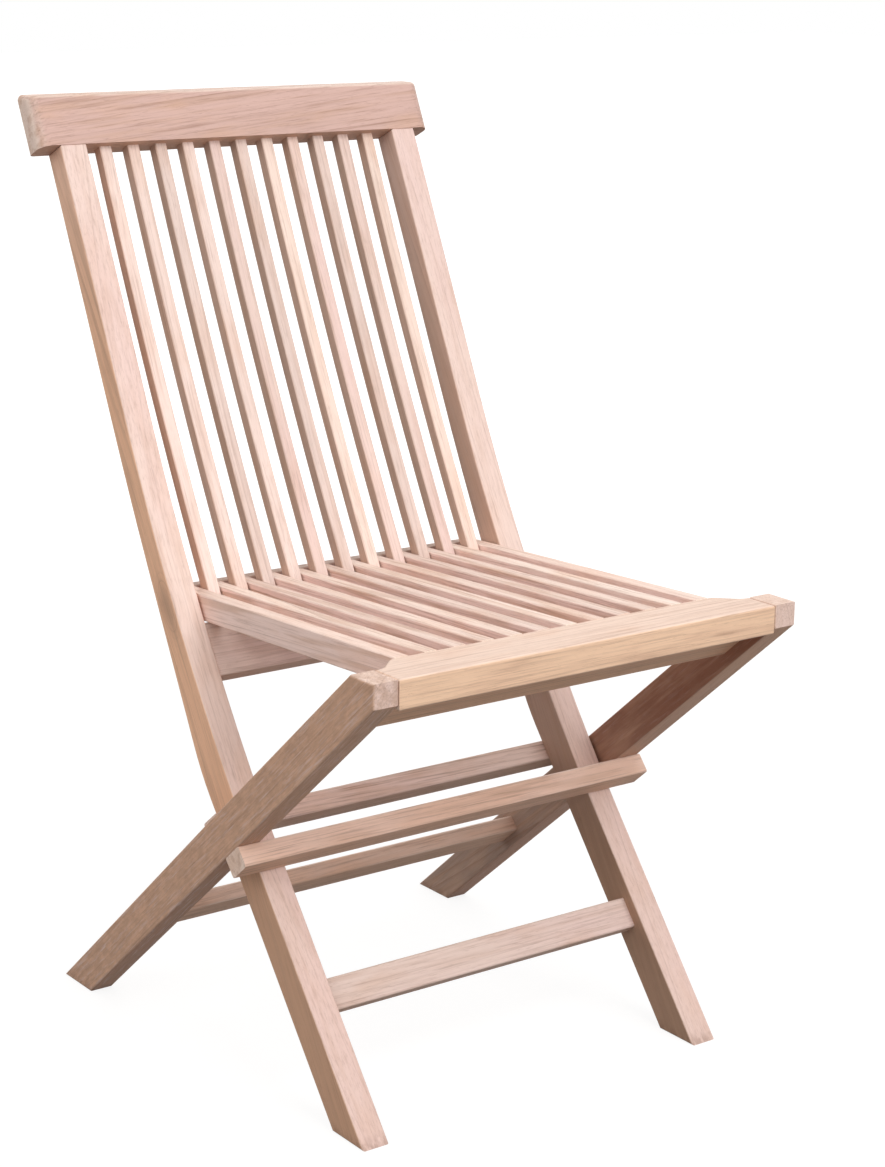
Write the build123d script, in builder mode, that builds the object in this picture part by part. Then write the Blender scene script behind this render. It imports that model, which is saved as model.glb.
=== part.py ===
"""Folding garden chair in teak: an X frame with a slatted back and a slatted seat.

The chair faces -Y, +X is across the width and Z = 0 is the floor. The origin is the
centre of the footprint. It is three frames that fold on two pairs of hidden pins:

* back frame: two long stiles from the rear of the seat down to the front feet, the
  crest rail, eleven back slats, the lower back rail and two stretchers;
* leg frame: two short legs from the front of the seat down to the rear feet, one
  stretcher under the seat, one near the floor and the stop bar under the crossing;
* seat: front rail, two side rails, ten slats that pass between the back slats, and
  the rear rail behind them.

The side view is drawn in (y, z) pairs. A lean is an angle from upright, positive when
the top goes to the rear.
"""
from build123d import *
from math import asin, atan2, cos, degrees, hypot, radians, sin, sqrt, tan
import os

os.makedirs("parts", exist_ok=True)

# ---------------------------------------------------------------- driving dimensions
# Lengths in millimetres, angles in degrees.

# overall
overall_width = 460.0
overall_height = 862.0
seat_height = 437.5
front_overhang = 53.0  # front rail ahead of the toes of the stiles

# back stiles
stile_thickness = 27.5
stile_foot_depth = 37.5
stile_top_depth = 27.5
foot_lean = 38.8
back_lean = 25.0
knee_height = 361.0  # where the front lines of foot and back would meet
knee_front_radius = 1850.0
waist_height = 505.0  # the stile is deeper below this
waist_lean = 27.6  # of the rear face between waist and foot
waist_radius = 3000.0
knee_rear_radius = 250.0

# short legs
leg_thickness = 25.0
leg_depth = 38.5
leg_foot_depth = 34.3  # the leg narrows from the crossing to the floor
leg_top_length = 34.0  # level top of the leg, from the front of the seat
crossing_height = 222.0
leg_gap = 3.0  # between a short leg and its stile, filled by a washer

# crest rail
crest_height = 44.0
crest_overhang = 20.0  # past the outer faces of the stiles
crest_depth = 29.0
crest_front_reveal = 1.0
crest_front_corner = 13.0
crest_rear_corner = 5.0
crest_top_round = 5.0

# back slats
back_slat_count = 11
slat_clearance = 1.8  # between a back slat and the seat slats beside it
back_slat_share = 0.47  # of the wood across one pitch, the rest is seat slat
back_slat_depth = 12.5
back_slat_head_setback = 9.0  # behind the front of the stiles, under the crest rail
back_slat_foot_setback = 8.0  # behind the front of the lower back rail
back_slat_bow = 6.5  # to the rear, half way up

# lower back rail
lower_rail_height = 52.0
lower_rail_depth = 26.0
lower_rail_setback = 2.5

# stretchers and stop bar
front_stretcher_height = 98.0
front_stretcher_width = 30.0
front_stretcher_depth = 16.0
front_stretcher_setback = 12.0
upper_stretcher_height = 230.0
upper_stretcher_width = 20.0
upper_stretcher_depth = 28.0
upper_stretcher_inset = 1.0
lower_stretcher_distance = 170.0  # from the crossing pin down the leg
leg_stretcher_clearance = 1.7  # under the front rail
leg_stretcher_setback = 12.4  # from the underside of the legs
leg_stretcher_width = 32.0
leg_stretcher_depth = 16.5
stop_bar_width = 27.5
stop_bar_depth = 20.0

# seat
seat_slope = 2.6
seat_member_depth = 24.5
side_rail_width = 15.0
seat_side_gap = 2.0
seat_rear_radius = 14.0
front_rail_width = 54.0
front_rail_end_width = 34.5
front_rail_thickness = 26.7
front_rail_neck_start = 4.0  # outside the side rail
front_rail_neck_length = 20.0
front_rail_neck_radius = 14.0
front_rail_end_gap = 0.5
rear_rail_depth = 12.0
rear_rail_height = 21.0
rear_rail_clearance = 10.0  # behind the back slats, for the swing of the seat

# joinery and hardware
tenon_length = 14.0
tenon_cheek = 4.0
slat_tenon_length = 9.0
slat_tenon_cheek = 2.0
tenon_end_gap = 0.5
fit_clearance = 0.05
contact_clearance = 0.3
pin_radius = 4.0
pin_running_clearance = 0.05
pin_leg_depth = 15.0
pin_stile_depth = 18.0
pin_rail_depth = 25.0
seat_pin_setback = 18.0  # behind the front of the seat
seat_pin_drop = 17.0  # below the top of the seat
washer_radius = 10.0
dowel_radius = 4.0
dowel_leg_depth = 18.0
dowel_bar_depth = 12.0
dowel_stile_depth = 12.0
dowel_stretcher_depth = 16.0

# eased edges
edge_radius = 2.0
slat_edge_chamfer = 0.8

SIDES = {"left": -1, "right": 1}


# ---------------------------------------------------------------- side view geometry
def upward(lean):
    """Unit step up a member of this lean, as (y, z)."""
    return (sin(radians(lean)), cos(radians(lean)))


def rearward(lean):
    """Unit step square to a member of this lean, towards its rear face."""
    return (cos(radians(lean)), -sin(radians(lean)))


def step(point, direction, distance):
    """Point at a distance along a direction in the side view."""
    return (point[0] + direction[0] * distance, point[1] + direction[1] * distance)


def between(point, other_point):
    """Run from one point to another in the side view."""
    return (other_point[0] - point[0], other_point[1] - point[1])


def meet(point, direction, other_point, other_direction):
    """Crossing of two lines in the side view."""
    cross = direction[0] * other_direction[1] - direction[1] * other_direction[0]
    apart = between(point, other_point)
    distance = (apart[0] * other_direction[1] - apart[1] * other_direction[0]) / cross
    return step(point, direction, distance)


def level_at(point, direction, height):
    """Point of a line at a given height."""
    return meet(point, direction, (0, height), (1, 0))


def reach(point, direction):
    """How far a point lies along a direction."""
    return point[0] * direction[0] + point[1] * direction[1]


def section(x, centre, lean):
    """Plane across the chair: local x runs to the member's rear, local y up it."""
    y_step, z_step = rearward(lean)
    return Plane(origin=(x, centre[0], centre[1]), x_dir=(0, y_step, z_step), z_dir=(1, 0, 0))


def along(x, base, lean):
    """Plane square to a member: local x is across the chair, local z up the member."""
    y_step, z_step = upward(lean)
    return Plane(origin=(x, base[0], base[1]), x_dir=(1, 0, 0), z_dir=(0, y_step, z_step))


def into_rear(x, point, lean):
    """Plane on a member's rear face: local z points out of the wood to the rear."""
    y_step, z_step = rearward(lean)
    return Plane(origin=(x, point[0], point[1]), x_dir=(1, 0, 0), z_dir=(0, y_step, z_step))


# stations across the width
leg_outer = overall_width / 2
leg_inner = leg_outer - leg_thickness
stile_outer = leg_inner - leg_gap
stile_inner = stile_outer - stile_thickness
side_rail_outer = stile_inner - seat_side_gap
side_rail_inner = side_rail_outer - side_rail_width
front_rail_end = leg_inner - front_rail_end_gap
crest_length = 2 * (stile_outer + crest_overhang)

# back slats and seat slats alternate, and the side rails take the outer places
side_rail_middle = (side_rail_inner + side_rail_outer) / 2
slat_pitch = 2 * side_rail_middle / back_slat_count
slat_wood = slat_pitch - 2 * slat_clearance
back_slat_width = back_slat_share * slat_wood
seat_slat_width = slat_wood - back_slat_width

# stile outline, first drawn from a toe at y = 0 to find where the chair's centre lies
back_length = (overall_height - crest_height - knee_height) / cos(radians(back_lean))
back_run = knee_height * tan(radians(foot_lean)) + back_length * sin(radians(back_lean))
crest_rear_offset = crest_depth - crest_front_reveal
crest_rear_rise = crest_height + crest_rear_offset * sin(radians(back_lean))
crest_round_loss = crest_top_round * (
    tan(radians(back_lean)) + 1 / cos(radians(back_lean)) - 1
)
crest_rear_run = (
    back_run
    + crest_rear_offset * cos(radians(back_lean))
    + crest_rear_rise * tan(radians(back_lean))
    - crest_round_loss
)
overall_depth = front_overhang + crest_rear_run
front_y = -overall_depth / 2

toe = (front_y + front_overhang, 0.0)
knee_front = step(toe, upward(foot_lean), knee_height / cos(radians(foot_lean)))
shoulder_front = step(knee_front, upward(back_lean), back_length)
shoulder_rear = step(shoulder_front, rearward(back_lean), stile_top_depth)
waist = level_at(shoulder_rear, upward(back_lean), waist_height)
foot_rear_line = step(toe, rearward(foot_lean), stile_foot_depth)
knee_rear = meet(foot_rear_line, upward(foot_lean), waist, upward(waist_lean))
heel = level_at(foot_rear_line, upward(foot_lean), 0)

# centre of the long curve of the stile's front, ahead of the chair
knee_centre = step(
    knee_front,
    rearward((foot_lean + back_lean) / 2),
    -knee_front_radius / cos(radians((foot_lean - back_lean) / 2)),
)

# crossing pin: the middle of the stile at the crossing height
foot_middle_line = step(toe, rearward(foot_lean), stile_foot_depth / 2)
crossing = level_at(foot_middle_line, upward(foot_lean), crossing_height)

# short leg outline: from the crossing pin up to a level top at the front of the seat
leg_top_rear = (front_y + leg_top_length, seat_height)
leg_rise = between(crossing, leg_top_rear)
leg_lean = degrees(atan2(*leg_rise) - asin(leg_depth / 2 / hypot(*leg_rise)))
leg_front_line = step(crossing, rearward(leg_lean), -leg_depth / 2)
leg_rear_line = step(crossing, rearward(leg_lean), leg_depth / 2)
leg_nose_low = meet(leg_front_line, upward(leg_lean), (front_y, 0), (0, 1))
leg_nose_high = (front_y, seat_height)
leg_foot = level_at(crossing, upward(leg_lean), 0)
leg_foot_front_line = step(leg_foot, rearward(leg_lean), -leg_foot_depth / 2)
leg_foot_rear_line = step(leg_foot, rearward(leg_lean), leg_foot_depth / 2)
leg_foot_front = level_at(leg_front_line, between(leg_front_line, leg_foot_front_line), 0)
leg_foot_rear = level_at(leg_rear_line, between(leg_rear_line, leg_foot_rear_line), 0)

# seat lines
front_rail_rear = front_y + front_rail_width
seat_top = (front_rail_rear, seat_height)
seat_bottom = (front_rail_rear, seat_height - seat_member_depth)
seat_direction = (cos(radians(seat_slope)), -sin(radians(seat_slope)))
seat_pin = (front_y + seat_pin_setback, seat_height - seat_pin_drop)

# lower back rail: follows the curve of the stiles, its top just under the seat
lower_rail_level = seat_height - seat_member_depth - lower_rail_height / 2
lower_rail_lean = degrees(asin((knee_centre[1] - lower_rail_level) / knee_front_radius))
lower_rail_front_line = step(
    knee_centre, rearward(lower_rail_lean), knee_front_radius + lower_rail_setback
)
rail_seat = meet(lower_rail_front_line, upward(lower_rail_lean), seat_bottom, seat_direction)
lower_rail_top = step(rail_seat, upward(lower_rail_lean), -contact_clearance)
lower_rail_centre = step(
    step(lower_rail_top, upward(lower_rail_lean), -lower_rail_height / 2),
    rearward(lower_rail_lean),
    lower_rail_depth / 2,
)

# back slats: bowed to the rear between the lower back rail and the crest rail
slat_foot_front = step(lower_rail_top, rearward(lower_rail_lean), back_slat_foot_setback)
slat_foot = step(slat_foot_front, rearward(lower_rail_lean), back_slat_depth / 2)
slat_foot_rear = step(slat_foot_front, rearward(lower_rail_lean), back_slat_depth)
slat_head_front = step(shoulder_front, rearward(back_lean), back_slat_head_setback)
slat_head = step(slat_head_front, rearward(back_lean), back_slat_depth / 2)
slat_head_rear = step(slat_head_front, rearward(back_lean), back_slat_depth)
slat_run = between(slat_foot, slat_head)
slat_lean = degrees(atan2(*slat_run))
slat_middle = step(
    (slat_foot[0] + slat_run[0] / 2, slat_foot[1] + slat_run[1] / 2),
    rearward(slat_lean),
    back_slat_bow,
)
slat_middle_front = step(slat_middle, rearward(slat_lean), -back_slat_depth / 2)
slat_middle_rear = step(slat_middle, rearward(slat_lean), back_slat_depth / 2)

# seat rear rail: behind the back slats, level with the seat
slat_rear_at_seat = meet(
    slat_foot_rear, between(slat_foot_rear, slat_middle_rear), seat_top, seat_direction
)
rear_rail_front = slat_rear_at_seat[0] + rear_rail_clearance
rear_rail_back = rear_rail_front + rear_rail_depth

# stretchers
front_stretcher_line = step(
    toe, rearward(foot_lean), front_stretcher_setback + front_stretcher_depth / 2
)
front_stretcher_centre = level_at(
    front_stretcher_line, upward(foot_lean), front_stretcher_height
)
upper_stretcher_face = level_at(foot_rear_line, upward(foot_lean), upper_stretcher_height)
upper_stretcher_centre = step(
    upper_stretcher_face, rearward(foot_lean), upper_stretcher_depth / 2
)
lower_stretcher_centre = step(crossing, upward(leg_lean), -lower_stretcher_distance)
leg_stretcher_rear_line = step(
    leg_front_line, rearward(leg_lean), leg_stretcher_setback + leg_stretcher_depth
)
leg_stretcher_corner = level_at(
    leg_stretcher_rear_line,
    upward(leg_lean),
    seat_height - front_rail_thickness - leg_stretcher_clearance,
)
leg_stretcher_centre = step(
    step(leg_stretcher_corner, upward(leg_lean), -leg_stretcher_width / 2),
    rearward(leg_lean),
    -leg_stretcher_depth / 2,
)

# stop bar: under the legs, its rear face or lower corner against the front of the stiles
leg_direction = upward(leg_lean)
curve_start = knee_height / cos(radians(foot_lean)) - knee_front_radius * tan(
    radians((foot_lean - back_lean) / 2)
)
curve_run = max(0, crossing_height / cos(radians(foot_lean)) - curve_start)
curve_rise = knee_front_radius - sqrt(knee_front_radius**2 - curve_run**2)
stile_front_stop = step(toe, rearward(foot_lean), -contact_clearance - curve_rise)
bar_under_line = step(leg_front_line, rearward(leg_lean), -stop_bar_depth)
stop_reach = max(
    reach(meet(line, leg_direction, stile_front_stop, upward(foot_lean)), leg_direction)
    for line in (leg_front_line, bar_under_line)
)
stop_bar_slide = stop_reach + stop_bar_width / 2 - reach(leg_front_line, leg_direction)
stop_bar_face = step(leg_front_line, leg_direction, stop_bar_slide)
stop_bar_centre = step(stop_bar_face, rearward(leg_lean), -stop_bar_depth / 2)


# ---------------------------------------------------------------- joinery helpers
def tenon_size(width, depth, cheek):
    """Section of a tenon that leaves a cheek all round the member."""
    return (width - 2 * cheek, depth - 2 * cheek)


def cut_mortise(plane, width, height, depth):
    """Pocket for a tenon, cut along the plane's normal."""
    with BuildSketch(plane) as pocket:
        Rectangle(width + 2 * fit_clearance, height + 2 * fit_clearance)
    extrude(pocket.sketch, amount=depth + tenon_end_gap, mode=Mode.SUBTRACT)


def cut_bore(plane, radius, depth):
    """Blind bore along the plane's normal."""
    with BuildSketch(plane) as mouth:
        Circle(radius)
    extrude(mouth.sketch, amount=depth, mode=Mode.SUBTRACT)


def finish(solid, name):
    """Label a finished piece and write its STEP file."""
    solid.label = name
    export_step(solid, f"parts/{name}.step")


def cross_member(centre, lean, width, depth, span):
    """Rectangular member across the chair with a tenon at each end."""
    tenon_width, tenon_depth = tenon_size(width, depth, tenon_cheek)
    with BuildPart() as member:
        with BuildSketch(section(-span, centre, lean)):
            Rectangle(depth, width)
        extrude(amount=2 * span)
        fillet(member.edges().filter_by(Axis.X), edge_radius)
        with BuildSketch(section(-span - tenon_length, centre, lean)):
            Rectangle(tenon_depth, tenon_width)
        extrude(amount=2 * (span + tenon_length))
    return member.part


# ---------------------------------------------------------------- back frame
def build_stile(side):
    """Long stile: straight foot, long curve, straight top with a tenon for the crest."""
    inner_face = side * stile_inner
    outer_face = side * stile_outer
    tenon_width, tenon_depth = tenon_size(stile_thickness, stile_top_depth, tenon_cheek)
    tenon_middle = step(shoulder_front, rearward(back_lean), stile_top_depth / 2)
    middle = side * (stile_inner + stile_outer) / 2
    with BuildPart() as stile:
        with BuildSketch(Plane.YZ.offset(inner_face)):
            with BuildLine():
                FilletPolyline(
                    toe, knee_front, shoulder_front, shoulder_rear, waist, knee_rear, heel,
                    radius=[0, knee_front_radius, 0, 0, waist_radius, knee_rear_radius, 0],
                    close=True,
                )
            make_face()
        extrude(amount=side * stile_thickness)
        fillet(stile.faces().filter_by(Axis.X).edges(), edge_radius)
        with BuildSketch(along(middle, tenon_middle, back_lean)):
            Rectangle(tenon_width, tenon_depth)
        extrude(amount=tenon_length)
        for centre, lean, width, depth in (
            (lower_rail_centre, lower_rail_lean, lower_rail_height, lower_rail_depth),
            (front_stretcher_centre, foot_lean, front_stretcher_width, front_stretcher_depth),
        ):
            mortise_height, mortise_depth = tenon_size(width, depth, tenon_cheek)
            mouth = section(inner_face, centre, lean)
            if side < 0:
                mouth = Plane(mouth.origin, x_dir=mouth.x_dir, z_dir=-mouth.z_dir)
            cut_mortise(mouth, mortise_depth, mortise_height, tenon_length)
        pin_mouth = Plane(
            origin=(outer_face, crossing[0], crossing[1]), z_dir=(-side, 0, 0)
        )
        cut_bore(pin_mouth, pin_radius + fit_clearance, pin_stile_depth)
        dowel_mouth = into_rear(middle, upper_stretcher_face, foot_lean)
        cut_bore(-dowel_mouth, dowel_radius + fit_clearance, dowel_stile_depth)
    return stile.part


for side_name, side in SIDES.items():
    finish(build_stile(side), f"{side_name}_stile")

# crest rail: leans with the back, level on top, with rounded ends
crest_front_foot = step(shoulder_front, rearward(back_lean), -crest_front_reveal)
crest_rear_foot = step(crest_front_foot, rearward(back_lean), crest_depth)
crest_front_top = level_at(crest_front_foot, upward(back_lean), overall_height)
crest_rear_top = level_at(crest_rear_foot, upward(back_lean), overall_height)
crest_front_normal = (0, -cos(radians(back_lean)), sin(radians(back_lean)))
slat_tenon = tenon_size(back_slat_width, back_slat_depth, slat_tenon_cheek)
back_slat_stations = [
    slat_pitch * (index - (back_slat_count - 1) / 2) for index in range(back_slat_count)
]
with BuildPart() as crest_rail:
    with BuildSketch(Plane.YZ.offset(-crest_length / 2)):
        with BuildLine():
            Polyline(
                crest_front_foot, crest_rear_foot, crest_rear_top, crest_front_top,
                close=True,
            )
        make_face()
    extrude(amount=crest_length)
    crest_faces = crest_rail.faces().sort_by(Axis((0, 0, 0), crest_front_normal))
    end_edges = crest_rail.faces().filter_by(Axis.X).edges()
    fillet([edge for edge in end_edges if edge in crest_faces[-1].edges()
            and edge.length < crest_length / 2], crest_front_corner)
    crest_faces = crest_rail.faces().sort_by(Axis((0, 0, 0), crest_front_normal))
    fillet([edge for edge in crest_faces[0].edges() if edge.length < crest_length / 2],
           crest_rear_corner)
    fillet(crest_rail.faces().sort_by(Axis.Z)[-1].edges(), crest_top_round)
    tenon_width, tenon_depth = tenon_size(stile_thickness, stile_top_depth, tenon_cheek)
    tenon_middle = step(shoulder_front, rearward(back_lean), stile_top_depth / 2)
    for side in SIDES.values():
        stile_middle = side * (stile_inner + stile_outer) / 2
        cut_mortise(
            along(stile_middle, tenon_middle, back_lean), tenon_width, tenon_depth, tenon_length
        )
    for station in back_slat_stations:
        cut_mortise(along(station, slat_head, back_lean), *slat_tenon, slat_tenon_length)
finish(crest_rail.part, "crest_rail")

# lower back rail: carries the feet of the back slats and the rear of the seat
with BuildPart() as lower_back_rail:
    add(cross_member(lower_rail_centre, lower_rail_lean, lower_rail_height,
                     lower_rail_depth, stile_inner))
    for station in back_slat_stations:
        cut_mortise(-along(station, slat_foot, lower_rail_lean), *slat_tenon,
                    slat_tenon_length)
finish(lower_back_rail.part, "lower_back_rail")

for number, station in enumerate(back_slat_stations, start=1):
    with BuildPart() as back_slat:
        with BuildSketch(Plane.YZ.offset(station - back_slat_width / 2)):
            with BuildLine():
                ThreePointArc(slat_foot_front, slat_middle_front, slat_head_front)
                Line(slat_head_front, slat_head_rear)
                ThreePointArc(slat_head_rear, slat_middle_rear, slat_foot_rear)
                Line(slat_foot_rear, slat_foot_front)
            make_face()
        extrude(amount=back_slat_width)
        chamfer(back_slat.edges().filter_by(GeomType.CIRCLE), slat_edge_chamfer)
        with BuildSketch(along(station, slat_head, back_lean)):
            Rectangle(*slat_tenon)
        extrude(amount=slat_tenon_length)
        with BuildSketch(-along(station, slat_foot, lower_rail_lean)):
            Rectangle(*slat_tenon)
        extrude(amount=slat_tenon_length)
    finish(back_slat.part, f"back_slat_{number:02d}")

finish(
    cross_member(front_stretcher_centre, foot_lean, front_stretcher_width,
                 front_stretcher_depth, stile_inner),
    "front_stretcher",
)

# upper rear stretcher: flat across the backs of the stiles, on dowels
with BuildPart() as upper_rear_stretcher:
    half_span = stile_outer - upper_stretcher_inset
    with BuildSketch(section(-half_span, upper_stretcher_centre, foot_lean)):
        Rectangle(upper_stretcher_depth, upper_stretcher_width)
    extrude(amount=2 * half_span)
    fillet(upper_rear_stretcher.edges().filter_by(Axis.X), edge_radius)
    for side in SIDES.values():
        stile_middle = side * (stile_inner + stile_outer) / 2
        cut_bore(into_rear(stile_middle, upper_stretcher_face, foot_lean),
                 dowel_radius + fit_clearance, dowel_stretcher_depth)
finish(upper_rear_stretcher.part, "upper_rear_stretcher")

with BuildPart() as stretcher_dowels:
    for side in SIDES.values():
        stile_middle = side * (stile_inner + stile_outer) / 2
        dowel_foot = step(upper_stretcher_face, rearward(foot_lean), -dowel_stile_depth)
        with BuildSketch(into_rear(stile_middle, dowel_foot, foot_lean)):
            Circle(dowel_radius)
        extrude(amount=dowel_stile_depth + dowel_stretcher_depth)
finish(stretcher_dowels.part, "stretcher_dowels")

# crossing pins and their washers: set in the stiles, turning in the short legs
with BuildPart() as crossing_pins:
    for side in SIDES.values():
        pin_foot = side * (stile_outer - pin_stile_depth)
        with BuildSketch(Plane.YZ.offset(pin_foot)):
            with Locations(crossing):
                Circle(pin_radius)
        extrude(amount=side * (pin_stile_depth + leg_gap + pin_leg_depth))
finish(crossing_pins.part, "crossing_pins")

with BuildPart() as crossing_washers:
    for side in SIDES.values():
        with BuildSketch(Plane.YZ.offset(side * stile_outer)):
            with Locations(crossing):
                Circle(washer_radius)
                Circle(pin_radius + fit_clearance, mode=Mode.SUBTRACT)
        extrude(amount=side * (leg_gap - contact_clearance))
finish(crossing_washers.part, "crossing_washers")


# ---------------------------------------------------------------- leg frame
def build_short_leg(side):
    """Short leg: square nose at the seat, level foot, bored for both pivots."""
    inner_face = side * leg_inner
    middle = side * (leg_inner + leg_outer) / 2
    with BuildPart() as leg:
        with BuildSketch(Plane.YZ.offset(inner_face)):
            with BuildLine():
                Polyline(
                    leg_nose_low, leg_nose_high, leg_top_rear, leg_rear_line,
                    leg_foot_rear, leg_foot_front, leg_front_line,
                    close=True,
                )
            make_face()
        extrude(amount=side * leg_thickness)
        fillet(leg.faces().filter_by(Axis.X).edges(), edge_radius)
        for centre in (crossing, seat_pin):
            mouth = Plane(origin=(inner_face, centre[0], centre[1]), z_dir=(side, 0, 0))
            cut_bore(mouth, pin_radius + pin_running_clearance, pin_leg_depth + tenon_end_gap)
        mortise_height, mortise_depth = tenon_size(
            leg_stretcher_width, leg_stretcher_depth, tenon_cheek
        )
        for centre in (lower_stretcher_centre, leg_stretcher_centre):
            mouth = section(inner_face, centre, leg_lean)
            if side < 0:
                mouth = Plane(mouth.origin, x_dir=mouth.x_dir, z_dir=-mouth.z_dir)
            cut_mortise(mouth, mortise_depth, mortise_height, tenon_length)
        cut_bore(into_rear(middle, stop_bar_face, leg_lean), dowel_radius + fit_clearance,
                 dowel_leg_depth)
    return leg.part


for side_name, side in SIDES.items():
    finish(build_short_leg(side), f"{side_name}_short_leg")

with BuildPart() as stop_bar:
    with BuildSketch(section(-leg_outer, stop_bar_centre, leg_lean)):
        Rectangle(stop_bar_depth, stop_bar_width)
    extrude(amount=overall_width)
    fillet(stop_bar.edges().filter_by(Axis.X), edge_radius)
    for side in SIDES.values():
        leg_middle = side * (leg_inner + leg_outer) / 2
        cut_bore(-into_rear(leg_middle, stop_bar_face, leg_lean),
                 dowel_radius + fit_clearance, dowel_bar_depth)
finish(stop_bar.part, "stop_bar")

with BuildPart() as stop_bar_dowels:
    for side in SIDES.values():
        leg_middle = side * (leg_inner + leg_outer) / 2
        dowel_foot = step(stop_bar_face, rearward(leg_lean), -dowel_bar_depth)
        with BuildSketch(into_rear(leg_middle, dowel_foot, leg_lean)):
            Circle(dowel_radius)
        extrude(amount=dowel_bar_depth + dowel_leg_depth)
finish(stop_bar_dowels.part, "stop_bar_dowels")

for centre, name in (
    (lower_stretcher_centre, "lower_rear_stretcher"),
    (leg_stretcher_centre, "upper_leg_stretcher"),
):
    finish(
        cross_member(centre, leg_lean, leg_stretcher_width, leg_stretcher_depth, leg_inner),
        name,
    )


# ---------------------------------------------------------------- seat
seat_tenon = tenon_size(seat_member_depth, seat_slat_width, tenon_cheek)
rear_tenon = tenon_size(rear_rail_height, seat_slat_width, tenon_cheek)
seat_tenon_middle = (front_rail_rear, seat_height - seat_member_depth / 2)
seat_slat_stations = [
    slat_pitch * (index - (back_slat_count - 2) / 2) for index in range(back_slat_count - 1)
]
rear_rail_top = meet(seat_top, seat_direction, (rear_rail_front, 0), (0, 1))
rear_tenon_middle = (rear_rail_front, rear_rail_top[1] - rear_rail_height / 2)


def facing_front(x, point):
    """Plane with local x across the chair, local y up and its normal to the front."""
    return Plane(origin=(x, point[0], point[1]), x_dir=(1, 0, 0), z_dir=(0, -1, 0))


def seat_member(x, width, rear_y, rear_tenon_section):
    """Seat slat or side rail: a long blade, rounded under its rear end, with tenons."""
    top_rear = meet(seat_top, seat_direction, (rear_y, 0), (0, 1))
    bottom_rear = meet(seat_bottom, seat_direction, (rear_y, 0), (0, 1))
    with BuildPart() as member:
        with BuildSketch(Plane.YZ.offset(x - width / 2)):
            with BuildLine():
                FilletPolyline(
                    seat_top, top_rear, bottom_rear, seat_bottom,
                    radius=[0, 0, seat_rear_radius, 0],
                    close=True,
                )
            make_face()
        extrude(amount=width)
        chamfer(member.faces().filter_by(Axis.X).edges(), slat_edge_chamfer)
        with BuildSketch(facing_front(x, seat_tenon_middle)):
            Rectangle(seat_tenon[1], seat_tenon[0])
        extrude(amount=tenon_length)
        if rear_tenon_section:
            with BuildSketch(-facing_front(x, rear_tenon_middle)):
                Rectangle(*rear_tenon_section)
            extrude(amount=slat_tenon_length)
    return member.part


def front_rail_outline():
    """Plan of the front rail: wide between the side rails, narrow at the legs."""
    neck_start = side_rail_outer + front_rail_neck_start
    neck_end = neck_start + front_rail_neck_length
    rear_right = [
        (front_rail_end, front_y),
        (front_rail_end, front_y + front_rail_end_width),
        (neck_end, front_y + front_rail_end_width),
        (neck_start, front_rail_rear),
    ]
    rear_left = [(-x, y) for x, y in reversed(rear_right)]
    return rear_right + rear_left


with BuildPart() as front_rail:
    with BuildSketch(Plane.XY.offset(seat_height - front_rail_thickness)):
        with BuildLine():
            FilletPolyline(
                *front_rail_outline(),
                radius=[0, 0, front_rail_neck_radius, front_rail_neck_radius,
                        front_rail_neck_radius, front_rail_neck_radius, 0, 0],
                close=True,
            )
        make_face()
    extrude(amount=front_rail_thickness)
    fillet(front_rail.faces().filter_by(Axis.Z).edges(), edge_radius)
    for station in seat_slat_stations + [-side_rail_middle, side_rail_middle]:
        cut_mortise(facing_front(station, seat_tenon_middle), seat_tenon[1], seat_tenon[0],
                    tenon_length)
    for side in SIDES.values():
        mouth = Plane(origin=(side * front_rail_end, seat_pin[0], seat_pin[1]),
                      z_dir=(-side, 0, 0))
        cut_bore(mouth, pin_radius + fit_clearance, pin_rail_depth)
finish(front_rail.part, "front_rail")

# side rails run on to the back of the rear rail and are mortised for it
rear_rail_middle = (
    (rear_rail_front + rear_rail_back) / 2,
    rear_rail_top[1] - rear_rail_height / 2,
)
end_tenon = tenon_size(rear_rail_height, rear_rail_depth, tenon_cheek)
for side_name, side in SIDES.items():
    with BuildPart() as side_rail:
        add(seat_member(side * side_rail_middle, side_rail_width, rear_rail_back, None))
        mouth = Plane(
            origin=(side * side_rail_inner, *rear_rail_middle),
            x_dir=(0, side, 0),
            z_dir=(side, 0, 0),
        )
        cut_mortise(mouth, end_tenon[1], end_tenon[0], slat_tenon_length)
    finish(side_rail.part, f"{side_name}_side_rail")

for number, station in enumerate(seat_slat_stations, start=1):
    finish(
        seat_member(station, seat_slat_width, rear_rail_front, (rear_tenon[1], rear_tenon[0])),
        f"seat_slat_{number:02d}",
    )

with BuildPart() as seat_rear_rail:
    with BuildSketch(Plane.YZ.offset(-side_rail_inner)):
        with Locations(rear_rail_middle):
            Rectangle(rear_rail_depth, rear_rail_height)
    extrude(amount=2 * side_rail_inner)
    chamfer(seat_rear_rail.edges().filter_by(Axis.X), slat_edge_chamfer)
    with BuildSketch(Plane.YZ.offset(-side_rail_inner - slat_tenon_length)):
        with Locations(rear_rail_middle):
            Rectangle(end_tenon[1], end_tenon[0])
    extrude(amount=2 * (side_rail_inner + slat_tenon_length))
    for station in seat_slat_stations:
        cut_mortise(-facing_front(station, rear_tenon_middle), rear_tenon[1], rear_tenon[0],
                    slat_tenon_length)
finish(seat_rear_rail.part, "seat_rear_rail")

# seat pins: set in the ends of the front rail, turning in the short legs
with BuildPart() as seat_pins:
    for side in SIDES.values():
        pin_foot = side * (front_rail_end - pin_rail_depth)
        with BuildSketch(Plane.YZ.offset(pin_foot)):
            with Locations(seat_pin):
                Circle(pin_radius)
        extrude(amount=side * (pin_rail_depth + front_rail_end_gap + pin_leg_depth))
finish(seat_pins.part, "seat_pins")

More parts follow.
